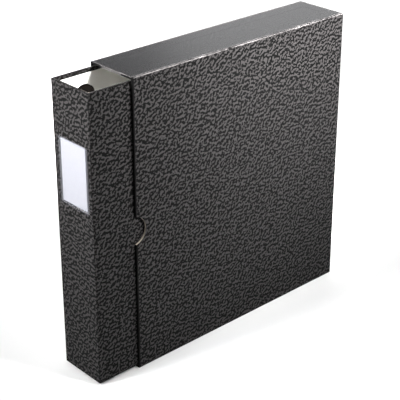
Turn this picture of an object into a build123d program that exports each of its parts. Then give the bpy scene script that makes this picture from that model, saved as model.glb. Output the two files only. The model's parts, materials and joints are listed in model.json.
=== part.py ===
"""A ring file in a slipcase.

The file is a casebound cover of three greyboards, wrapped outside in patterned paper and lined inside
with white paper. A four-ring mechanism is riveted to its spine, with an opening lever at each end. A
label card sits in a clear pocket on the spine. The file slides into a paper-wrapped slipcase of five
greyboards, which has a thumb notch in each broad wall.

X runs along the file's depth, from the spine (-X) to the slipcase's closed end (+X). Y runs across its
thickness, with the front cover at -Y. Z is up. The origin is the bottom centre of the whole object.
"""

import os
from math import asin, cos, degrees, radians, sin, sqrt, tan

from build123d import *

# ---------------------------------------------------------------- driving dimensions, in millimetres
# file
file_height = 318.5
file_width = 57.5
file_depth = 292.0
file_board = 1.6  # greyboard
cover_paper = 0.25  # patterned paper round the boards
lining_paper = 0.25
crease_gap = 1.2  # gap between the spine board and a cover board, where the paper hinges
lining_margin = 4.5  # turned-in cover paper left showing round the lining
file_fold_radius = 0.5  # of the paper round the boards' edges
pull_out = 50.0  # how far the file stands out of the slipcase

# slipcase
slipcase_board = 2.0  # greyboard
wrap_paper = 0.25  # patterned paper round the broad walls and the closed end
strip_paper = 0.20  # plain strip over the turn-ins, on the top and the bottom
wrap_fold_radius = 1.25  # over the boards' crushed edges
mouth_fold_radius = 0.4
side_clearance = 1.05  # between the file and a broad wall
floor_clearance = 0.05  # under the file
top_clearance = 1.55  # over the file
end_clearance = 4.75  # behind the file when its spine is flush with the mouth
side_turn_in = 17.0  # how far the wrap folds over the top from a broad wall
end_turn_in = 14.0  # how far it folds over the top from the closed end
strip_setback = 2.2  # bare margin between the strip and the box's edges
strip_edge_slope = 0.8  # width over which the strip's rim falls to the wrap
lap_slope = 1.6  # width over which the strip falls from the turn-ins to the board
lap_rise = 0.2  # of the strip over the turn-ins
mouth_turn_in = 12.0  # how far the paper folds inside at the mouth
notch_radius = 16.0
notch_centre_out = 3.0  # the notch's centre lies this far outside the mouth

# label
pocket_width = 44.4
pocket_height = 70.0
pocket_film = 0.15
pocket_side_weld = 2.95
pocket_bottom_weld = 2.5
pocket_offset = -1.8  # across the spine
pocket_centre_drop = 91.5  # from the file's top to the pocket's middle
card_thickness = 0.30
card_clearance = 0.05  # between the card and the pocket, all round
card_top_gap = 1.45  # from the card to the pocket's open top

# ring mechanism
ring_count = 4
ring_end_margin = 14.45  # from an outer ring to the lever's pin
ring_wall_clearance = 9.85  # from a closed ring to the lining, which leaves room for it to open
ring_wire = 3.5
ring_root_inset = 5.0  # from the mechanism's edge to a ring's root in its hinge plate
ring_root_bend = 3.5  # radius of the bend above the cover plate
ring_tip_gap = 0.10
ring_stake = 0.35  # wire left standing below the hinge plate
nib_radius = 0.9
nib_tip_radius = 0.45
nib_length = 1.2
nib_clearance = 0.2
mechanism_width = 24.0
mechanism_wall = 4.4  # height of the cover plate's side walls
mechanism_crown = 7.6
mechanism_sheet = 0.8
slot_clearance = 0.5
plate_thickness = 1.0
plate_pivot_height = 3.0
plate_half_swing = 7.0  # degrees either side of flat
plate_edge_gap = 0.2  # from the plate's outer edge to the cover plate's wall
plate_middle_gap = 0.1  # from the plate's inner edge to the middle
plate_end_gap = 0.525  # from the plate's end to the lever's hub
ledge_width = 0.6  # crimp in the side walls that carries the plates
ledge_height = 0.7
ledge_clearance = 0.1  # from the crimp to the plate that it carries
rivet_span = 200.0
rivet_shank = 5.0
rivet_head = 9.0
rivet_head_thickness = 0.8
rivet_dome = 1.3  # height of the domed head on the cover plate
rivet_clearance = 0.05
rivet_seat_margin = 0.5  # flat left round a rivet's domed head
lever_inset = 24.8  # from the file's top to a lever's pin
lever_overhang = 0.0  # lever's tab beyond the mechanism's width, on either side
lever_length = 27.3
lever_sheet = 1.0
lever_tilt = 45.0  # degrees from the spine
lever_swing = 16.0  # degrees to open the rings
lever_side_clearance = 0.2  # between the lever's neck and the ears
lever_end_radius = 10.0
lever_neck_length = 9.0
rib_length = 11.0  # pressed grip rib across the tab
rib_radius = 1.1
rib_from_tip = 7.5
cheek_length = 11.0
cheek_drop = 1.8
hub_radius = 2.0
pin_radius = 1.0
pin_height = 3.2
pin_clearance = 0.05
ear_bore_clearance = 0.025
pin_head_radius = 1.7
pin_head_thickness = 0.5
foot_width = 4.0
foot_clearance = 0.15
foot_thickness = 0.7
foot_root = 1.5
ear_length = 3.0  # cover plate beyond the pin

through_cut = 60.0  # length of a bore that goes right through its piece

# ---------------------------------------------------------------- places worked out from them
slipcase_wall = wrap_paper + slipcase_board
slipcase_width = file_width + 2 * (side_clearance + slipcase_wall)
slipcase_depth = file_depth + end_clearance + slipcase_wall
skin_z = wrap_paper + strip_paper  # paper above and below the slipcase's boards
floor_z = skin_z + slipcase_board  # what the file stands on
slipcase_height = file_height + floor_clearance + top_clearance + 2 * floor_z

pocket_proud = 2 * pocket_film + card_thickness + 2 * card_clearance
overall_length = pocket_proud + pull_out + slipcase_depth
end_x = overall_length / 2
mouth_x = end_x - slipcase_depth
spine_x = mouth_x - pull_out
half_width = slipcase_width / 2
middle_z = slipcase_height / 2
board_height = slipcase_height - 2 * skin_z
inner_y = half_width - slipcase_wall
mouth_board_x = mouth_x + wrap_paper
end_board_x = end_x - wrap_paper

file_z = floor_z + floor_clearance
file_top = file_z + file_height
file_middle = file_z + file_height / 2
half_file = file_width / 2
wall = cover_paper + file_board + lining_paper
base_x = spine_x + wall  # the lining's face, which the mechanism stands on
fore_x = spine_x + file_depth

half_mechanism = mechanism_width / 2
ring_root_y = half_mechanism - ring_root_inset
plate_outer_y = half_mechanism - mechanism_sheet - plate_edge_gap
hinge_y = plate_outer_y - plate_thickness / 2  # the middle of the plate's rounded outer edge
hinge_x = base_x + plate_pivot_height
pin_x = base_x + pin_height
pin_offset = file_height / 2 - lever_inset  # from the file's middle to either pin
ring_pitch = 2 * (pin_offset - ring_end_margin) / (ring_count - 1)  # 80 mm, as sheets are punched
ring_radius = half_file - wall - ring_wall_clearance
plate_slope = tan(radians(plate_half_swing))
plate_under = plate_thickness / 2 / cos(radians(plate_half_swing))
shut_drop = (hinge_y - plate_middle_gap) * plate_slope  # of the plates' inner edges, below their hinges
open_rise = (hinge_y - foot_width / 2) * plate_slope  # over the foot's sides, above their hinges

os.makedirs("parts", exist_ok=True)


def save(part, name):
    """Labels a finished piece and writes it under that name."""
    part.label = name
    export_step(part, f"parts/{name}.step")


def block(low, high, mode=Mode.ADD):
    """A box between two corners, for use inside a part."""
    size = [b - a for a, b in zip(low, high)]
    middle = tuple((a + b) / 2 for a, b in zip(low, high))
    with Locations(middle):
        Box(*size, mode=mode)


def notch_cut(y_low, y_high):
    """Cuts the thumb notch through whatever lies between two Y values."""
    with BuildSketch(Plane.XZ.offset(-y_high)) as notch:
        with Locations((mouth_x - notch_centre_out, middle_z)):
            Circle(notch_radius)
    extrude(notch.sketch, amount=y_high - y_low, mode=Mode.SUBTRACT)


# ---------------------------------------------------------------- slipcase
with BuildPart() as boards:
    # the five boards together, their outer edges crushed round except at the mouth
    block(
        (mouth_board_x, -half_width + wrap_paper, skin_z),
        (end_board_x, half_width - wrap_paper, slipcase_height - skin_z),
    )
    crushed = boards.edges().filter_by_position(Axis.X, mouth_board_x, end_x, (False, True))
    fillet(crushed, wrap_fold_radius - wrap_paper)

for side, name in ((-1, "slipcase_front_board"), (1, "slipcase_rear_board")):
    y_values = sorted((side * inner_y, side * (inner_y + slipcase_board)))
    with BuildPart() as broad_board:
        block(
            (mouth_board_x, y_values[0], skin_z),
            (end_board_x, y_values[1], skin_z + board_height),
        )
        add(boards.part, mode=Mode.INTERSECT)
        notch_cut(*y_values)
    save(broad_board.part, name)

for low_z, name in (
    (skin_z, "slipcase_bottom_board"),
    (slipcase_height - skin_z - slipcase_board, "slipcase_top_board"),
):
    with BuildPart() as level_board:
        block(
            (mouth_board_x, -inner_y, low_z),
            (end_board_x, inner_y, low_z + slipcase_board),
        )
        add(boards.part, mode=Mode.INTERSECT)
    save(level_board.part, name)

with BuildPart() as end_board:
    block(
        (end_board_x - slipcase_board, -inner_y, skin_z + slipcase_board),
        (end_board_x, inner_y, slipcase_height - skin_z - slipcase_board),
    )
    add(boards.part, mode=Mode.INTERSECT)
save(end_board.part, "slipcase_end_board")

with BuildPart() as wrap:
    # a sleeve round the boards, folded over their top, bottom and mouth edges
    block(
        (mouth_x, -half_width, strip_paper),
        (end_x, half_width, slipcase_height - strip_paper),
    )
    fillet(
        wrap.edges().filter_by_position(Axis.X, mouth_x, end_x, (False, True)), wrap_fold_radius
    )
    fillet(wrap.faces().sort_by(Axis.X)[0].edges(), mouth_fold_radius)
    add(boards.part, mode=Mode.SUBTRACT)
    # the window that the strips close, right through from top to bottom
    block(
        (mouth_x, -half_width + side_turn_in, 0),
        (end_x - end_turn_in, half_width - side_turn_in, slipcase_height),
        mode=Mode.SUBTRACT,
    )
    # the mouth
    block(
        (mouth_x, -inner_y, floor_z),
        (mouth_board_x, inner_y, slipcase_height - floor_z),
        mode=Mode.SUBTRACT,
    )
    # folded round the broad walls' mouth edges, a little way inside
    for side in (-1, 1):
        y_values = sorted((side * inner_y, side * (inner_y - wrap_paper)))
        block(
            (mouth_x, y_values[0], floor_z),
            (mouth_x + mouth_turn_in, y_values[1], slipcase_height - floor_z),
        )
    notch_cut(-half_width, half_width)
save(wrap.part, "slipcase_wrap_paper")


def sloped_slab(levels, x_ranges, half_widths, mode=Mode.ADD):
    """A slab with sloping sides, for use inside a part: each pair gives its first and second level."""
    outlines = []
    for z, (x_low, x_high), half in zip(levels, x_ranges, half_widths):
        with BuildSketch(Plane.XY.offset(z)) as outline:
            with Locations(((x_low + x_high) / 2, 0)):
                Rectangle(x_high - x_low, 2 * half)
        outlines.append(outline.sketch)
    loft(outlines, mode=mode)


def strip(side):
    """The plain paper over the slipcase's top (side 1) or bottom (side -1), stepped over the turn-ins."""
    outer = middle_z + side * slipcase_height / 2
    under = outer - side * strip_paper  # the turn-ins' face
    board_face = outer - side * skin_z
    y_border = half_width - strip_setback
    y_window = half_width - side_turn_in
    x_border = end_x - strip_setback
    x_window = end_x - end_turn_in
    window_slab = sorted((board_face, outer))
    mouth_fold = sorted((outer, board_face - side * slipcase_board))
    with BuildPart() as paper:
        # over the turn-ins, thinning to its rim
        sloped_slab(
            (under, outer),
            ((mouth_x - strip_edge_slope, x_border), (mouth_x, x_border - strip_edge_slope)),
            (y_border, y_border - strip_edge_slope),
        )
        block((mouth_x, -y_window, window_slab[0]), (x_window, y_window, window_slab[1]))
        # and down to the board between them
        sloped_slab(
            (outer - side * lap_rise, outer + side * lap_rise),
            (
                (mouth_x - mouth_turn_in, x_window - lap_slope),
                (mouth_x - mouth_turn_in, x_window + lap_slope),
            ),
            (y_window - lap_slope, y_window + lap_slope),
            mode=Mode.SUBTRACT,
        )
        # folded over the mouth's edge
        block(
            (mouth_x - strip_edge_slope, -half_width, skin_z - slipcase_height),
            (mouth_x, half_width, 2 * slipcase_height),
            mode=Mode.SUBTRACT,
        )
        block(
            (mouth_x, -y_window, mouth_fold[0] + (lap_rise if side < 0 else 0)),
            (mouth_board_x, y_window, mouth_fold[1] - (lap_rise if side > 0 else 0)),
        )
    return paper.part


save(strip(1), "slipcase_top_paper")
save(strip(-1), "slipcase_bottom_paper")

# ---------------------------------------------------------------- the file's case
board_low = file_z + cover_paper
board_high = file_top - cover_paper
spine_board_x = spine_x + cover_paper
cover_board_x = spine_board_x + file_board + crease_gap

rivet_places = [file_middle - rivet_span / 2, file_middle + rivet_span / 2]


def rivet_holes(radius):
    """Bores for the two mounting rivets, along X through the spine."""
    for z in rivet_places:
        with Locations(Location((base_x, 0, z), (0, 90, 0))):
            Cylinder(radius, through_cut, mode=Mode.SUBTRACT)


for side, name in ((-1, "front_cover_board"), (1, "rear_cover_board")):
    y_values = sorted(
        (side * (half_file - cover_paper), side * (half_file - cover_paper - file_board))
    )
    with BuildPart() as cover_board:
        block(
            (cover_board_x, y_values[0], board_low),
            (fore_x - cover_paper, y_values[1], board_high),
        )
    save(cover_board.part, name)

with BuildPart() as spine_board:
    block(
        (spine_board_x, -half_file + cover_paper, board_low),
        (spine_board_x + file_board, half_file - cover_paper, board_high),
    )
    rivet_holes(rivet_shank / 2 + rivet_clearance)
    # the rivets' flat heads lie flush in the board, under the paper
    for z in rivet_places:
        with Locations(Location((spine_board_x + rivet_head_thickness / 2, 0, z), (0, 90, 0))):
            Cylinder(rivet_head / 2 + rivet_clearance, rivet_head_thickness, mode=Mode.SUBTRACT)
save(spine_board.part, "spine_board")

with BuildPart() as cover_wrap:
    # one sheet round the spine and both covers, folded over every edge
    block((spine_x, -half_file, file_z), (fore_x, half_file, file_top))
    fillet(cover_wrap.edges(), file_fold_radius)
    block(
        (base_x, -half_file + wall, file_z),
        (fore_x, half_file - wall, file_top),
        mode=Mode.SUBTRACT,
    )
    # room for the spine board and the two cover boards; the paper meets in the creases between them
    block(
        (spine_board_x, -half_file + cover_paper, board_low),
        (spine_board_x + file_board, half_file - cover_paper, board_high),
        mode=Mode.SUBTRACT,
    )
    for side in (-1, 1):
        y_values = sorted(
            (side * (half_file - cover_paper), side * (half_file - cover_paper - file_board))
        )
        block(
            (cover_board_x, y_values[0], board_low),
            (fore_x - cover_paper, y_values[1], board_high),
            mode=Mode.SUBTRACT,
        )
    # the lining's bed
    block(
        (base_x - lining_paper, -half_file + wall - lining_paper, file_z + lining_margin),
        (fore_x - lining_margin, half_file - wall + lining_paper, file_top - lining_margin),
        mode=Mode.SUBTRACT,
    )
save(cover_wrap.part, "file_cover_paper")

with BuildPart() as lining:
    block(
        (base_x - lining_paper, -half_file + wall - lining_paper, file_z + lining_margin),
        (fore_x - lining_margin, half_file - wall + lining_paper, file_top - lining_margin),
    )
    block(
        (base_x, -half_file + wall, file_z),
        (fore_x, half_file - wall, file_top),
        mode=Mode.SUBTRACT,
    )
    rivet_holes(rivet_shank / 2 + rivet_clearance)
save(lining.part, "file_lining_paper")

# ---------------------------------------------------------------- label
pocket_middle = file_top - pocket_centre_drop
pocket_low = pocket_middle - pocket_height / 2
card_low = pocket_low + pocket_bottom_weld + card_clearance
card_high = pocket_low + pocket_height - card_top_gap
card_half = pocket_width / 2 - pocket_side_weld - card_clearance
card_face_x = spine_x - pocket_film - card_clearance

with BuildPart() as pocket:
    block(
        (spine_x - pocket_proud, pocket_offset - pocket_width / 2, pocket_low),
        (spine_x, pocket_offset + pocket_width / 2, pocket_low + pocket_height),
    )
    # the slot that the card slides into, open at the top
    block(
        (
            card_face_x - card_thickness - card_clearance,
            pocket_offset - card_half - card_clearance,
            pocket_low + pocket_bottom_weld,
        ),
        (
            card_face_x + card_clearance,
            pocket_offset + card_half + card_clearance,
            pocket_low + pocket_height,
        ),
        mode=Mode.SUBTRACT,
    )
save(pocket.part, "label_pocket")

with BuildPart() as card:
    block(
        (card_face_x - card_thickness, pocket_offset - card_half, card_low),
        (card_face_x, pocket_offset + card_half, card_high),
    )
save(card.part, "label_card")

# ---------------------------------------------------------------- ring mechanism
cover_half_length = pin_offset + ear_length
plate_half_length = pin_offset - hub_radius - plate_end_gap
ring_places = [
    file_middle + (i - (ring_count - 1) / 2) * ring_pitch for i in range(ring_count)
]
ring_swing = 2 * plate_half_swing
slot_low_y = ring_root_y - ring_wire / 2 - slot_clearance
slot_high_y = (
    ring_root_y
    + ring_wire / 2
    + slot_clearance
    + (mechanism_crown - plate_pivot_height) * sin(radians(ring_swing))
)


crown_rise = mechanism_crown - mechanism_wall
crown_radius = (half_mechanism**2 + crown_rise**2) / (2 * crown_rise)
seat_radius = rivet_head / 2 + rivet_seat_margin
seat_x = base_x + mechanism_crown - crown_radius + sqrt(crown_radius**2 - seat_radius**2)
dome_radius = ((rivet_head / 2) ** 2 + rivet_dome**2) / (2 * rivet_dome)


def arch(inset):
    """Half-closed outline of the cover plate: walls and crown, moved in by the sheet's thickness."""
    y = half_mechanism - inset
    low = (base_x, y)
    shoulder = (base_x + mechanism_wall, y)
    crown = (base_x + mechanism_crown - inset, 0)
    Line(low, shoulder)
    ThreePointArc(shoulder, crown, (shoulder[0], -y))
    Line((shoulder[0], -y), (base_x, -y))
    Line((base_x, -y), low)


with BuildPart() as cover_plate:
    with BuildSketch(Plane.XY.offset(file_middle - cover_half_length)):
        with BuildLine():
            arch(0)
        make_face()
        with BuildLine():
            arch(mechanism_sheet)
        make_face(mode=Mode.SUBTRACT)
    extrude(amount=2 * cover_half_length)
    # the crimp that the hinge plates' outer edges stand on
    ledge_top = plate_pivot_height - plate_thickness / 2 - ledge_clearance
    for side in (-1, 1):
        y_root = side * (half_mechanism - mechanism_sheet / 2)
        y_values = sorted((y_root, side * (plate_outer_y + plate_edge_gap - ledge_width)))
        block(
            (base_x + ledge_top - ledge_height, y_values[0], file_middle - plate_half_length),
            (base_x + ledge_top, y_values[1], file_middle + plate_half_length),
        )
    # slots for the rings
    for z in ring_places:
        for side in (-1, 1):
            y_values = sorted((side * slot_low_y, side * slot_high_y))
            block(
                (hinge_x + plate_thickness, y_values[0], z - ring_wire / 2 - slot_clearance),
                (base_x + mechanism_crown, y_values[1], z + ring_wire / 2 + slot_clearance),
                mode=Mode.SUBTRACT,
            )
    # the crown stops short of each lever, and leaves two ears for its pin
    for end in (-1, 1):
        z_values = sorted((end * (pin_offset - hub_radius - slot_clearance), end * cover_half_length))
        block(
            (base_x, -half_mechanism + mechanism_sheet, file_middle + z_values[0]),
            (
                base_x + mechanism_crown,
                half_mechanism - mechanism_sheet,
                file_middle + z_values[1],
            ),
            mode=Mode.SUBTRACT,
        )
        with Locations(Location((pin_x, 0, file_middle + end * pin_offset), (90, 0, 0))):
            Cylinder(pin_radius + ear_bore_clearance, through_cut, mode=Mode.SUBTRACT)
    # flat seats pressed in the crown for the rivets' heads
    for z in rivet_places:
        with BuildSketch(Plane.YZ.offset(seat_x)) as seat:
            with Locations((0, z)):
                Circle(seat_radius)
        extrude(seat.sketch, amount=mechanism_crown, mode=Mode.SUBTRACT)
        extrude(seat.sketch, amount=-mechanism_sheet)
        with Locations(Location((seat_x, 0, z), (0, 90, 0))):
            Cylinder(rivet_shank / 2 + rivet_clearance, through_cut, mode=Mode.SUBTRACT)
save(cover_plate.part, "mechanism_cover_plate")

# hinge plates: flat strips that meet in the middle, tipped towards the spine while the rings are shut
for side, name in ((1, "left_hinge_plate"), (-1, "right_hinge_plate")):
    with BuildPart() as hinge_plate:
        y_values = sorted((side * plate_middle_gap, side * hinge_y))
        block(
            (hinge_x - plate_thickness / 2, y_values[0], file_middle - plate_half_length),
            (hinge_x + plate_thickness / 2, y_values[1], file_middle + plate_half_length),
        )
        with Locations((hinge_x, side * hinge_y, file_middle)):
            Cylinder(plate_thickness / 2, 2 * plate_half_length)
        for z in rivet_places:
            with Locations(Location((hinge_x, 0, z), (0, 90, 0))):
                Cylinder(rivet_shank / 2 + slot_clearance, through_cut, mode=Mode.SUBTRACT)
    tipped = hinge_plate.part.rotate(
        Axis((hinge_x, side * hinge_y, 0), (0, 0, 1)), -side * plate_half_swing
    )
    with BuildPart() as bored_plate:
        add(tipped)
        for z in ring_places:
            with Locations(Location((hinge_x, side * ring_root_y, z), (0, 90, 0))):
                Cylinder(ring_wire / 2 + rivet_clearance, through_cut, mode=Mode.SUBTRACT)
    save(bored_plate.part, name)

# rings: each half rises from its hinge plate, bends outwards over the cover plate and meets the other
bend_sum = ring_radius + ring_root_bend
join_angle = degrees(asin((ring_root_y + ring_root_bend) / bend_sum))
stub_top_x = base_x + mechanism_crown
ring_centre_x = stub_top_x + bend_sum * cos(radians(join_angle))
root_plate_x = hinge_x - (hinge_y - ring_root_y) * tan(radians(plate_half_swing))
stub_low_x = root_plate_x - plate_under - ring_stake
tip_trim = degrees(ring_tip_gap / 2 / ring_radius)

for number, z in enumerate(ring_places, start=1):
    with BuildPart() as half_ring:
        with BuildLine(Plane.XY.offset(z)) as wire_path:
            stub = Line((stub_low_x, ring_root_y), (stub_top_x, ring_root_y))
            bend = JernArc(stub @ 1, stub % 1, ring_root_bend, 90 - join_angle)
            JernArc(bend @ 1, bend % 1, ring_radius, -(180 - join_angle - tip_trim))
        with BuildSketch(Plane(origin=wire_path.line @ 0, z_dir=wire_path.line % 0)):
            Circle(ring_wire / 2)
        sweep(path=wire_path.line)
    plain_half = half_ring.part
    tip_x = ring_centre_x + ring_radius
    with BuildPart() as left_half:
        add(plain_half)
        with Locations(Location((tip_x, ring_tip_gap / 2, z), (90, 0, 0))):
            Cone(
                nib_radius,
                nib_tip_radius,
                nib_length,
                align=(Align.CENTER, Align.CENTER, Align.MIN),
            )
    save(left_half.part, f"ring_{number}_left")
    with BuildPart() as right_half:
        add(mirror(plain_half, about=Plane.XZ, mode=Mode.PRIVATE))
        with Locations(Location((tip_x, -ring_tip_gap / 2, z), (90, 0, 0))):
            Cone(
                nib_radius + nib_clearance,
                nib_tip_radius + nib_clearance,
                nib_length + nib_clearance,
                align=(Align.CENTER, Align.CENTER, Align.MIN),
                mode=Mode.SUBTRACT,
            )
    save(right_half.part, f"ring_{number}_right")

# levers, made at the top end and mirrored to the bottom
pin_z = file_middle + pin_offset
tilt = radians(lever_tilt)
lever_plane = Plane(
    origin=(pin_x, 0, pin_z), x_dir=(0, 1, 0), z_dir=(cos(tilt), 0, -sin(tilt))
)
half_neck = half_mechanism - mechanism_sheet - lever_side_clearance
half_lever = half_mechanism + lever_overhang
foot_drop = pin_height - (plate_pivot_height - shut_drop - plate_under - foot_clearance)
foot_rise = plate_pivot_height + open_rise - plate_under - foot_clearance - pin_height
# the foot's reach from the pin turns the lever's swing into the plates' rise
swing = radians(lever_swing)
foot_reach = sqrt(foot_drop**2 + foot_rise**2 + 2 * foot_drop * foot_rise * cos(swing)) / sin(swing)
foot_length = sqrt(foot_reach**2 - foot_drop**2)

with BuildPart() as lever:
    with BuildSketch(lever_plane):
        with BuildLine():
            outline = Polyline(
                (-half_neck, 0),
                (-half_neck, lever_neck_length),
                (-half_lever, lever_neck_length + (half_lever - half_neck)),
                (-half_lever, lever_length - lever_end_radius),
            )
            RadiusArc(
                outline @ 1,
                (-half_lever + lever_end_radius, lever_length),
                lever_end_radius,
            )
            Line(
                (-half_lever + lever_end_radius, lever_length),
                (half_lever - lever_end_radius, lever_length),
            )
            RadiusArc(
                (half_lever - lever_end_radius, lever_length),
                (half_lever, lever_length - lever_end_radius),
                lever_end_radius,
            )
            Polyline(
                (half_lever, lever_length - lever_end_radius),
                (half_lever, lever_neck_length + (half_lever - half_neck)),
                (half_neck, lever_neck_length),
                (half_neck, 0),
                (-half_neck, 0),
            )
        make_face()
    extrude(amount=lever_sheet / 2, both=True)
    # cheeks that carry the pin, standing off the tab towards the spine
    for side in (-1, 1):
        cheek_plane = Plane(
            origin=(pin_x, side * half_neck, pin_z),
            x_dir=(sin(tilt), 0, cos(tilt)),
            z_dir=(0, -side, 0),
        )
        with BuildSketch(cheek_plane):
            with BuildLine():
                Polyline((0, 0), (0, side * cheek_drop), (cheek_length, 0), (0, 0))
            make_face()
        extrude(amount=lever_sheet)
    # grip rib pressed in the tab, round at both ends
    rib_middle = (0, lever_length - rib_from_tip)
    with Locations(lever_plane.offset(-lever_sheet / 2) * Location((*rib_middle, 0), (0, 90, 0))):
        Cylinder(rib_radius, rib_length)
    for side in (-1, 1):
        rib_end = lever_plane.offset(-lever_sheet / 2) * Location(
            (side * rib_length / 2, rib_middle[1], 0)
        )
        with Locations(rib_end):
            Sphere(rib_radius)
    # hub and foot
    with Locations(Location((pin_x, 0, pin_z), (90, 0, 0))):
        Cylinder(hub_radius, 2 * half_neck)
    block(
        (pin_x - foot_drop - foot_thickness, -foot_width / 2, pin_z - foot_root),
        (pin_x, foot_width / 2, pin_z),
    )
    block(
        (pin_x - foot_drop - foot_thickness, -foot_width / 2, pin_z - foot_length),
        (pin_x - foot_drop, foot_width / 2, pin_z),
    )
    with Locations(Location((pin_x, 0, pin_z), (90, 0, 0))):
        Cylinder(pin_radius + pin_clearance, through_cut, mode=Mode.SUBTRACT)
save(lever.part, "top_lever")

mirror_plane = Plane.XY.offset(file_middle)
save(mirror(lever.part, about=mirror_plane), "bottom_lever")

with BuildPart() as pin:
    with Locations(Location((pin_x, 0, pin_z), (90, 0, 0))):
        Cylinder(pin_radius, mechanism_width + 2 * rivet_clearance)
    for side in (-1, 1):
        y_middle = side * (half_mechanism + rivet_clearance + pin_head_thickness / 2)
        with Locations(Location((pin_x, y_middle, pin_z), (90, 0, 0))):
            Cylinder(pin_head_radius, pin_head_thickness)
save(pin.part, "top_lever_pin")
save(mirror(pin.part, about=mirror_plane), "bottom_lever_pin")

# mounting rivets, from under the spine's paper to the cover plate's crown
for z, name in zip(rivet_places, ("bottom_rivet", "top_rivet")):
    with BuildPart() as rivet:
        with BuildSketch(Plane.XZ):
            with BuildLine():
                Polyline(
                    (spine_board_x, z),
                    (spine_board_x, z + rivet_head / 2),
                    (spine_board_x + rivet_head_thickness, z + rivet_head / 2),
                    (spine_board_x + rivet_head_thickness, z + rivet_shank / 2),
                    (seat_x, z + rivet_shank / 2),
                    (seat_x, z + rivet_head / 2),
                )
                RadiusArc((seat_x, z + rivet_head / 2), (seat_x + rivet_dome, z), dome_radius)
                Line((seat_x + rivet_dome, z), (spine_board_x, z))
            make_face()
        revolve(axis=Axis((spine_board_x, 0, z), (1, 0, 0)))
    save(rivet.part, name)
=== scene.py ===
"""Looks for the ring file in its slipcase: papers, boards, plated metal, light, floor and camera."""

import json
import math

import bpy
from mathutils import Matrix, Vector


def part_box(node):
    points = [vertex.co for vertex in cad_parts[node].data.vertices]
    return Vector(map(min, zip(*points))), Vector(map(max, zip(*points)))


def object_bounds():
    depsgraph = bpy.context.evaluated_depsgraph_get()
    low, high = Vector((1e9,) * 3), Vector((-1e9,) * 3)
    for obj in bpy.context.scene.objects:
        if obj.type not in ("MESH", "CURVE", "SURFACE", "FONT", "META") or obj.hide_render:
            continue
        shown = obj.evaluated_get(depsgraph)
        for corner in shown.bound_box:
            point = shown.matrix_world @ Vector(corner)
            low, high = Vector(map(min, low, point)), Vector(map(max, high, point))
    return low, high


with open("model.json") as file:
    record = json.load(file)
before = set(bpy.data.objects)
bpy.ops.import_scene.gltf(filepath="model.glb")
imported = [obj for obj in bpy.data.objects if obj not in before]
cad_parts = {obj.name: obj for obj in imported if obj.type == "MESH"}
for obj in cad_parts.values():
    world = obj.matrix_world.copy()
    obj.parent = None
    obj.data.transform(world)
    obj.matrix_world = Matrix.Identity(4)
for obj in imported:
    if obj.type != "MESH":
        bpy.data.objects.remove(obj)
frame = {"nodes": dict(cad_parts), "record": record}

cad_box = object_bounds()

MM = 0.001  # millimetres to metres

# ---------------------------------------------------------------- places read from the frame
file_low, file_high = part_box("file_cover_paper")
wrap_low, wrap_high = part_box("slipcase_wrap_paper")
strip_low, strip_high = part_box("slipcase_top_paper")
card_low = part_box("label_card")[0]
floor_level = cad_box[0].z


# ---------------------------------------------------------------- small helpers
def linear(hex_colour):
    """An sRGB hex colour, such as "8a8f94", as linear RGBA."""
    shares = [int(hex_colour[i : i + 2], 16) / 255 for i in (0, 2, 4)]
    made = [s / 12.92 if s <= 0.04045 else ((s + 0.055) / 1.055) ** 2.4 for s in shares]
    return (*made, 1.0)


def add_node(tree, kind, inputs=None, **settings):
    """Adds a shader node. Each input is a constant, an output to link, or a node whose first output it is."""
    made = tree.nodes.new(kind)
    for name, value in settings.items():
        setattr(made, name, value)
    for key, value in (inputs or {}).items():
        if isinstance(value, bpy.types.Node):
            value = value.outputs[0]
        if isinstance(value, bpy.types.NodeSocket):
            tree.links.new(value, made.inputs[key])
        else:
            made.inputs[key].default_value = value
    return made


def start_material(name):
    """An empty node material with its output and principled shader."""
    material = bpy.data.materials.new(name)
    material.use_nodes = True
    tree = material.node_tree
    tree.nodes.clear()
    shader = add_node(tree, "ShaderNodeBsdfPrincipled")
    add_node(tree, "ShaderNodeOutputMaterial", {"Surface": shader})
    return material, tree, shader


def settle(tree, shader, linked, **constants):
    """Links a shader's inputs, and sets the ones that are the same all over the surface."""
    for name, value in linked.items():
        tree.links.new(value, shader.inputs[name])
    for name, value in constants.items():
        shader.inputs[name.replace("_", " ")].default_value = value


def place_in_mm(tree):
    """A point of the piece in millimetres, in the model's own frame."""
    place = add_node(tree, "ShaderNodeTexCoord").outputs["Object"]
    return add_node(tree, "ShaderNodeVectorMath", {0: place, "Scale": 1 / MM}, operation="SCALE")


# ---------------------------------------------------------------- paper and board
TURN_IN_SLOPE = 0.7  # upward share of the normal past which a face lies flat


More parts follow.
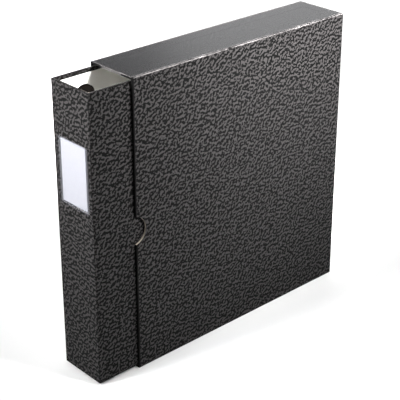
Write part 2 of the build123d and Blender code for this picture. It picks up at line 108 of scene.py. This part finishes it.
def unrolled_sheet(tree, low, high):
    """Places on the sheet that wraps a box, in millimetres: along it to the right, and up it."""
    place = add_node(tree, "ShaderNodeSeparateXYZ", {"Vector": place_in_mm(tree)})
    normal = add_node(tree, "ShaderNodeNewGeometry").outputs["Normal"]
    facing = add_node(tree, "ShaderNodeSeparateXYZ", {"Vector": normal})
    size_x = add_node(tree, "ShaderNodeMath", {0: facing.outputs["X"]}, operation="ABSOLUTE")
    size_y = add_node(tree, "ShaderNodeMath", {0: facing.outputs["Y"]}, operation="ABSOLUTE")
    size_z = add_node(tree, "ShaderNodeMath", {0: facing.outputs["Z"]}, operation="ABSOLUTE")
    sign_x = add_node(tree, "ShaderNodeMath", {0: facing.outputs["X"]}, operation="SIGN")
    sign_y = add_node(tree, "ShaderNodeMath", {0: facing.outputs["Y"]}, operation="SIGN")
    # the corner's distance from the middle of the end face joins the print round the fold
    from_fold = add_node(
        tree, "ShaderNodeMath", {0: place.outputs["X"], 1: (high.y - low.x) / MM}, operation="ADD"
    )
    turned = add_node(tree, "ShaderNodeMath", {0: from_fold, 1: sign_y}, operation="MULTIPLY")
    along_broad = add_node(tree, "ShaderNodeMath", {0: turned, 1: -1.0}, operation="MULTIPLY")
    along_end = add_node(
        tree, "ShaderNodeMath", {0: place.outputs["Y"], 1: sign_x}, operation="MULTIPLY"
    )
    on_end = add_node(tree, "ShaderNodeMath", {0: size_x, 1: size_y}, operation="GREATER_THAN")
    on_turn_in = add_node(tree, "ShaderNodeMath", {0: size_z, 1: TURN_IN_SLOPE}, operation="GREATER_THAN")
    along = add_node(tree, "ShaderNodeMix", {"Factor": on_end, "A": along_broad, "B": along_end})
    up = add_node(
        tree,
        "ShaderNodeMix",
        {"Factor": on_turn_in, "A": place.outputs["Z"], "B": place.outputs["Y"]},
    )
    return add_node(tree, "ShaderNodeCombineXYZ", {"X": along, "Y": up})


WEAR_AND_HIGHLIGHT_PATCH = 20.0  # mm, the size of the patches that break up the fold wear and painted highlight


def fold_wear_and_highlight_mask(tree, low, high, reach):
    """1 on a box's folded edges, falling to 0 at a reach in millimetres, broken into patches: wear, and a
    painted highlight along the folds.
    """
    place = place_in_mm(tree)
    middle = (low + high) / 2 / MM
    half = (high - low) / 2 / MM
    from_middle = add_node(
        tree, "ShaderNodeVectorMath", {0: place, 1: middle}, operation="SUBTRACT"
    )
    size = add_node(tree, "ShaderNodeVectorMath", {0: from_middle}, operation="ABSOLUTE")
    inside = add_node(tree, "ShaderNodeVectorMath", {0: half, 1: size}, operation="SUBTRACT")
    depth = add_node(tree, "ShaderNodeSeparateXYZ", {"Vector": inside})
    x, y, z = (depth.outputs[axis] for axis in "XYZ")
    # on a face one depth is nil, and the second smallest is the way to the nearest fold
    lesser = add_node(tree, "ShaderNodeMath", {0: x, 1: y}, operation="MINIMUM")
    greater = add_node(tree, "ShaderNodeMath", {0: x, 1: y}, operation="MAXIMUM")
    rest = add_node(tree, "ShaderNodeMath", {0: greater, 1: z}, operation="MINIMUM")
    to_fold = add_node(tree, "ShaderNodeMath", {0: lesser, 1: rest}, operation="MAXIMUM")
    near = add_node(
        tree,
        "ShaderNodeMapRange",
        {"Value": to_fold, "From Min": 0.0, "From Max": reach, "To Min": 1.0, "To Max": 0.0},
        interpolation_type="SMOOTHSTEP",
    )
    patches = add_node(
        tree,
        "ShaderNodeTexNoise",
        {"Vector": place, "Scale": 1 / WEAR_AND_HIGHLIGHT_PATCH, "Detail": 5.0, "Roughness": 0.7},
    )
    patchy = add_node(
        tree, "ShaderNodeMapRange", {"Value": patches, "From Min": 0.35, "From Max": 0.65}
    )
    return add_node(tree, "ShaderNodeMath", {0: near, 1: patchy}, operation="MULTIPLY")


STROKE_SPACING = 4.9  # mm from one printed stroke to the next
STROKE_LENGTH = 1.1  # strokes side by side in one cluster of the print
STROKE_LEAN = 24.0  # degrees that the strokes rise to the right
SPECKLE_SIZE = 0.42 * STROKE_SPACING  # the speckle breaks strokes into short pieces
SPECKLE_SHARE = 0.6  # of the speckle, against the strokes
GRAIN_SIZE = 0.4  # mm; real fibre is about 0.02 mm thick, and is drawn coarse enough to show
WRAP_WEAR_AND_HIGHLIGHT_REACH = 1.4  # mm of wear and painted highlight on either side of a fold


def patterned_paper(name, low, high, painted_shade_edge_x, fold_wear_and_highlight_tone):
    """Printed and embossed cover paper: short satin strokes on a dull near-black ground.

    The raised strokes catch the light and the ground doesn't, so the print seems to turn lighter and
    darker with the light. Along the folds the paper takes a tone of its own: wear, and on the slipcase
    a painted highlight along the fold. Nearer the mouth than the x given for the painted shade, in
    millimetres, the paper is plain black: painted shade for the shaded mouth edge and the gap beside
    the file. The inks are darker than real ones, to suit the strong light and the white floor.
    """
    material, tree, shader = start_material(name)
    sheet = unrolled_sheet(tree, low, high)
    strokes = add_node(
        tree,
        "ShaderNodeTexGabor",
        {
            "Vector": sheet,
            "Scale": 1 / (STROKE_LENGTH * STROKE_SPACING),
            "Frequency": STROKE_LENGTH,
            "Anisotropy": 0.34,
            "Orientation": math.radians(STROKE_LEAN + 90),
        },
    )
    # a finer speckle breaks the strokes into short pieces
    speckle = add_node(
        tree,
        "ShaderNodeTexNoise",
        {"Vector": sheet, "Scale": 1 / SPECKLE_SIZE, "Detail": 1.0},
        noise_dimensions="2D",
    )
    broken = add_node(
        tree, "ShaderNodeMath", {0: speckle, 1: SPECKLE_SHARE, 2: strokes}, operation="MULTIPLY_ADD"
    )
    print_mask = add_node(
        tree,
        "ShaderNodeMapRange",
        {"Value": broken, "From Min": 0.78, "From Max": 0.87},
        interpolation_type="SMOOTHSTEP",
    )
    place = place_in_mm(tree)
    across_mouth = add_node(tree, "ShaderNodeSeparateXYZ", {"Vector": place})
    # nearer the mouth than the given x the print and fold tone are left out: painted shade on the mouth edge
    past_painted_shade = add_node(
        tree,
        "ShaderNodeMath",
        {0: across_mouth.outputs["X"], 1: painted_shade_edge_x},
        operation="GREATER_THAN",
    )
    printed = add_node(
        tree, "ShaderNodeMath", {0: print_mask, 1: past_painted_shade}, operation="MULTIPLY"
    )
    grain = add_node(
        tree, "ShaderNodeTexNoise", {"Vector": place, "Scale": 1 / GRAIN_SIZE, "Detail": 2.0}
    )
    ink = add_node(
        tree,
        "ShaderNodeMix",
        {"Factor": printed, "A": linear("040404"), "B": linear("343232")},
        data_type="RGBA",
    )
    # the folds take the fold tone: wear, and on the slipcase a painted highlight along the fold
    rubbed_and_highlit = add_node(
        tree,
        "ShaderNodeMath",
        {0: fold_wear_and_highlight_mask(tree, low, high, WRAP_WEAR_AND_HIGHLIGHT_REACH), 1: past_painted_shade},
        operation="MULTIPLY",
    )
    worn_and_highlit = add_node(
        tree,
        "ShaderNodeMix",
        {"Factor": rubbed_and_highlit, "A": ink.outputs["Result"], "B": linear(fold_wear_and_highlight_tone)},
        data_type="RGBA",
    )
    roughness = add_node(
        tree, "ShaderNodeMapRange", {"Value": printed, "To Min": 0.75, "To Max": 0.5}
    )
    relief = add_node(
        tree, "ShaderNodeMath", {0: grain, 1: 0.35, 2: printed}, operation="MULTIPLY_ADD"
    )
    bump = add_node(
        tree, "ShaderNodeBump", {"Height": relief, "Strength": 0.35, "Distance": 0.08 * MM}
    )
    settle(
        tree,
        shader,
        {
            "Base Color": worn_and_highlit.outputs["Result"],
            "Roughness": roughness.outputs[0],
            "Normal": bump.outputs[0],
        },
        IOR=1.45,
        Specular_IOR_Level=0.1,
    )
    return material


STRIP_FIBRE = 1.4  # mm, far coarser than real fibre, so that it shows
STRIP_WEAR_AND_HIGHLIGHT_REACH = 1.2  # mm of wear and painted highlight along the strip's edges


def plain_black_paper():
    """Calendered black paper: charcoal with a fine fleck, whose satin face mirrors a soft band of light."""
    material, tree, shader = start_material("calendered_black_paper")
    place = place_in_mm(tree)
    fibre = add_node(
        tree, "ShaderNodeTexNoise", {"Vector": place, "Scale": 1 / STRIP_FIBRE, "Detail": 3.0}
    )
    roughness = add_node(
        tree,
        "ShaderNodeMapRange",
        {"Value": fibre, "From Min": 0.35, "From Max": 0.65, "To Min": 0.22, "To Max": 0.42},
    )
    tone = add_node(
        tree,
        "ShaderNodeMix",
        {"Factor": fibre, "A": linear("060606"), "B": linear("2a2a2b")},
        data_type="RGBA",
    )
    # the strip's edges are lightened: wear, and a painted highlight along the strip's edge
    worn_and_highlit = add_node(
        tree,
        "ShaderNodeMix",
        {
            "Factor": fold_wear_and_highlight_mask(tree, strip_low, strip_high, STRIP_WEAR_AND_HIGHLIGHT_REACH),
            "A": tone.outputs["Result"],
            "B": linear("6e6b6b"),
        },
        data_type="RGBA",
    )
    bump = add_node(
        tree, "ShaderNodeBump", {"Height": fibre, "Strength": 0.45, "Distance": 0.1 * MM}
    )
    settle(
        tree,
        shader,
        {
            "Base Color": worn_and_highlit.outputs["Result"],
            "Roughness": roughness.outputs[0],
            "Normal": bump.outputs[0],
        },
        IOR=1.45,
        Specular_IOR_Level=0.24,
    )
    return material


LINING_FIBRE = 0.6  # mm, coarser than real fibre, so that it shows


def white_lining_paper():
    """Uncoated woodfree paper: clean white, quite matt, with a barely seen fibre."""
    material, tree, shader = start_material("uncoated_white_paper")
    fibre = add_node(
        tree,
        "ShaderNodeTexNoise",
        {"Vector": place_in_mm(tree), "Scale": 1 / LINING_FIBRE, "Detail": 3.0},
    )
    tone = add_node(
        tree,
        "ShaderNodeMix",
        {"Factor": fibre, "A": linear("dcdbd7"), "B": linear("e6e5e1")},
        data_type="RGBA",
    )
    bump = add_node(
        tree, "ShaderNodeBump", {"Height": fibre, "Strength": 0.25, "Distance": 0.03 * MM}
    )
    settle(
        tree,
        shader,
        {"Base Color": tone.outputs["Result"], "Normal": bump.outputs[0]},
        Roughness=0.8,
        IOR=1.45,
        Specular_IOR_Level=0.3,
    )
    return material


FLECK_SIZE = 0.6  # mm, the length of a short pulp fibre


def raw_greyboard():
    """Pulp board cut with a guillotine: brownish grey and dull, with flecks of recycled fibre."""
    material, tree, shader = start_material("raw_greyboard")
    flecks = add_node(
        tree,
        "ShaderNodeTexNoise",
        {"Vector": place_in_mm(tree), "Scale": 1 / FLECK_SIZE, "Detail": 4.0},
    )
    tone = add_node(
        tree,
        "ShaderNodeMix",
        {"Factor": flecks, "A": linear("776c61"), "B": linear("b3a99c")},
        data_type="RGBA",
    )
    bump = add_node(
        tree, "ShaderNodeBump", {"Height": flecks, "Strength": 0.4, "Distance": 0.1 * MM}
    )
    settle(
        tree,
        shader,
        {"Base Color": tone.outputs["Result"], "Normal": bump.outputs[0]},
        Roughness=0.9,
        IOR=1.45,
    )
    return material


# ---------------------------------------------------------------- label
FILM_RIPPLE = 15.0  # mm from crest to crest where the film is stretched over the card


def clear_film():
    """Cast polypropylene film: clear and glossy, with a slightly milky body that greys black paper."""
    material, tree, shader = start_material("cast_polypropylene_film")
    ripple = add_node(
        tree, "ShaderNodeTexNoise", {"Vector": place_in_mm(tree), "Scale": 1 / FILM_RIPPLE, "Detail": 1.0}
    )
    bump = add_node(
        tree, "ShaderNodeBump", {"Height": ripple, "Strength": 0.5, "Distance": 0.3 * MM}
    )
    settle(
        tree,
        shader,
        {"Normal": bump.outputs[0]},
        Base_Color=linear("c8cbd6"),
        Roughness=0.12,
        IOR=1.49,
        Alpha=0.10,
    )
    return material


RULE_SPACING = 8.0  # mm between the card's writing lines
RULE_WIDTH = 0.4  # mm
CARD_FIBRE = 0.5  # mm, coarser than real fibre, so that it shows


def ruled_card():
    """Uncoated white card, offset-printed with faint grey writing lines.

    The base colours are a mid grey, which the strong light on the spine brings up to white. In even
    light a real card would be about e8e8ec.
    """
    material, tree, shader = start_material("ruled_white_card")
    mm = place_in_mm(tree)
    place = add_node(tree, "ShaderNodeSeparateXYZ", {"Vector": mm})
    above_edge = add_node(
        tree,
        "ShaderNodeMath",
        {0: place.outputs["Z"], 1: card_low.z / MM - RULE_SPACING / 2},
        operation="SUBTRACT",
    )
    wave = add_node(
        tree, "ShaderNodeMath", {0: above_edge, 1: RULE_SPACING / 2}, operation="PINGPONG"
    )
    on_rule = add_node(
        tree, "ShaderNodeMath", {0: wave, 1: RULE_WIDTH / 2}, operation="LESS_THAN"
    )
    tone = add_node(
        tree,
        "ShaderNodeMix",
        {"Factor": on_rule, "A": linear("848489"), "B": linear("75757b")},
        data_type="RGBA",
    )
    fibre = add_node(tree, "ShaderNodeTexNoise", {"Vector": mm, "Scale": 1 / CARD_FIBRE, "Detail": 3.0})
    bump = add_node(
        tree, "ShaderNodeBump", {"Height": fibre, "Strength": 0.15, "Distance": 0.03 * MM}
    )
    settle(
        tree,
        shader,
        {"Base Color": tone.outputs["Result"], "Normal": bump.outputs[0]},
        Roughness=0.75,
        IOR=1.45,
        Specular_IOR_Level=0.3,
    )
    return material


# ---------------------------------------------------------------- plated steel
STREAKS_PER_MM = (1.2, 1.2, 0.2)  # streaks about 0.8 mm wide and 5 mm long, upright


def plated_steel(name, colour, smoothest, dullest):
    """Electroplated pressed steel: a mirror clouded by the rolled strip beneath.

    The roughness drifts between its two values in streaks a few millimetres long.
    """
    material, tree, shader = start_material(name)
    along_strip = add_node(
        tree,
        "ShaderNodeVectorMath",
        {0: place_in_mm(tree), 1: STREAKS_PER_MM},
        operation="MULTIPLY",
    )
    streaks = add_node(
        tree, "ShaderNodeTexNoise", {"Vector": along_strip, "Scale": 1.0, "Detail": 3.0}
    )
    roughness = add_node(
        tree,
        "ShaderNodeMapRange",
        {"Value": streaks, "From Min": 0.3, "From Max": 0.7, "To Min": smoothest, "To Max": dullest},
    )
    bump = add_node(
        tree, "ShaderNodeBump", {"Height": streaks, "Strength": 0.08, "Distance": 0.05 * MM}
    )
    settle(
        tree,
        shader,
        {"Roughness": roughness.outputs[0], "Normal": bump.outputs[0]},
        Base_Color=linear(colour),
        Metallic=1.0,
    )
    return material


# ---------------------------------------------------------------- finishes on the CAD pieces
MOUTH_PAINTED_SHADE_WIDTH = 1.6  # mm of painted shade along the slipcase's mouth: plain black for the shade on the mouth edge and in the gap beside the file
nowhere = cad_box[0].x / MM - 1  # past the whole object, so no painted shade
mouth_painted_shade_x = wrap_low.x / MM + MOUTH_PAINTED_SHADE_WIDTH
# on the file the fold tone is near-black, so its folds show a dark line and no painted highlight
file_paper = patterned_paper("embossed_file_paper", file_low, file_high, nowhere, "0c0c0c")
finishes = {
    # on the slipcase the fold tone is light: wear, and a painted highlight along its folds
    "patterned_paper": patterned_paper(
        "embossed_slipcase_paper", wrap_low, wrap_high, mouth_painted_shade_x, "858181"
    ),
    "plain_paper": plain_black_paper(),
    "greyboard": raw_greyboard(),
    "lining_paper": white_lining_paper(),
    "clear_film": clear_film(),
    "card": ruled_card(),
    "plated_steel": plated_steel("bright_nickel_plate", "bdb7ad", 0.12, 0.26),
    "black_nickel": plated_steel("black_nickel_plate", "6a625e", 0.1, 0.16),
}
slot_of = {part["node"]: part["material_slot"] for part in frame["record"]["subparts"]}
for node_name, cad_node in frame["nodes"].items():
    cad_node.data.materials.clear()
    cad_node.data.materials.append(finishes[slot_of[node_name]])
frame["nodes"]["file_cover_paper"].data.materials[0] = file_paper

# ---------------------------------------------------------------- floor
FLOOR_SIZE = 12.0  # metres
bpy.ops.mesh.primitive_plane_add(size=FLOOR_SIZE, location=(0, 0, floor_level))
floor = bpy.context.object
floor.name = "floor"
floor_paint, floor_tree, floor_shader = start_material("matt_white_sweep")
settle(
    floor_tree,
    floor_shader,
    {},
    Base_Color=linear("fafafa"),
    Roughness=0.9,
    Specular_IOR_Level=0.1,
)
floor.data.materials.append(floor_paint)

# ---------------------------------------------------------------- light
scene = bpy.context.scene
scene.view_settings.view_transform = "Standard"
sky = bpy.data.worlds.new("studio")
scene.world = sky
sky.use_nodes = True
sky.node_tree.nodes["Background"].inputs["Color"].default_value = linear("ffffff")
sky.node_tree.nodes["Background"].inputs["Strength"].default_value = 0.10


def softbox(name, place, aim, size, watts, grid=180):
    """A square softbox, in metres, with a honeycomb grid that narrows its beam to so many degrees."""
    lamp = bpy.data.lights.new(name, "AREA")
    lamp.shape = "SQUARE"
    lamp.size = size
    lamp.energy = watts
    lamp.spread = math.radians(grid)
    holder = bpy.data.objects.new(name, lamp)
    scene.collection.objects.link(holder)
    holder.location = place
    holder.rotation_mode = "QUATERNION"
    holder.rotation_quaternion = (Vector(aim) - Vector(place)).to_track_quat("-Z", "Y")
    holder.visible_camera = False


# lights the floor until it is white
softbox("overhead_softbox", place=(0.0, 0.0, 2.2), aim=(0, 0, 0), size=2.4, watts=36)
# brightest on the broad wall's top right corner
softbox(
    "key_softbox", place=(0.30, -0.60, 0.95), aim=(0.17, 0, 0.52), size=0.44, watts=10, grid=38
)
# brightest on the top of the spine
softbox(
    "spine_softbox", place=(-0.95, 0.25, 0.95), aim=(-0.17, 0, 0.48), size=0.6, watts=5.5, grid=30
)
# mirrored by the satin strip on the slipcase's top
softbox(
    "rear_softbox", place=(0.95, 0.75, 0.75), aim=(0.17, 0, 0.32), size=0.55, watts=0.3, grid=90
)
# keeps the floor white a long way behind
softbox(
    "backdrop_softbox", place=(1.6, 1.7, 2.6), aim=(1.9, 2.1, 0), size=1.5, watts=60, grid=110
)

# ---------------------------------------------------------------- camera
CAMERA_AZIMUTH = math.radians(-42.51)  # turned from square on to the front
CAMERA_ELEVATION = math.radians(24.43)
CAMERA_DISTANCE = 1.2451
CAMERA_AIM = Vector((-0.0088, 0.0, 0.1943))
LENS_LENGTH = 105.63  # millimetres, on a sensor 36 mm wide
LENS_SHIFT = -0.1  # keeps the uprights nearer to parallel
camera_data = bpy.data.cameras.new("camera")
camera_data.sensor_width = 36.0
camera_data.lens = LENS_LENGTH
camera_data.shift_y = LENS_SHIFT
camera_data.clip_start = 0.05
camera_data.clip_end = 50
camera = bpy.data.objects.new("camera", camera_data)
scene.collection.objects.link(camera)
scene.camera = camera
back = Vector(
    (
        math.sin(CAMERA_AZIMUTH) * math.cos(CAMERA_ELEVATION),
        -math.cos(CAMERA_AZIMUTH) * math.cos(CAMERA_ELEVATION),
        math.sin(CAMERA_ELEVATION),
    )
)
camera.location = CAMERA_AIM + back * CAMERA_DISTANCE
camera.rotation_mode = "QUATERNION"
camera.rotation_quaternion = (-back).to_track_quat("-Z", "Y")
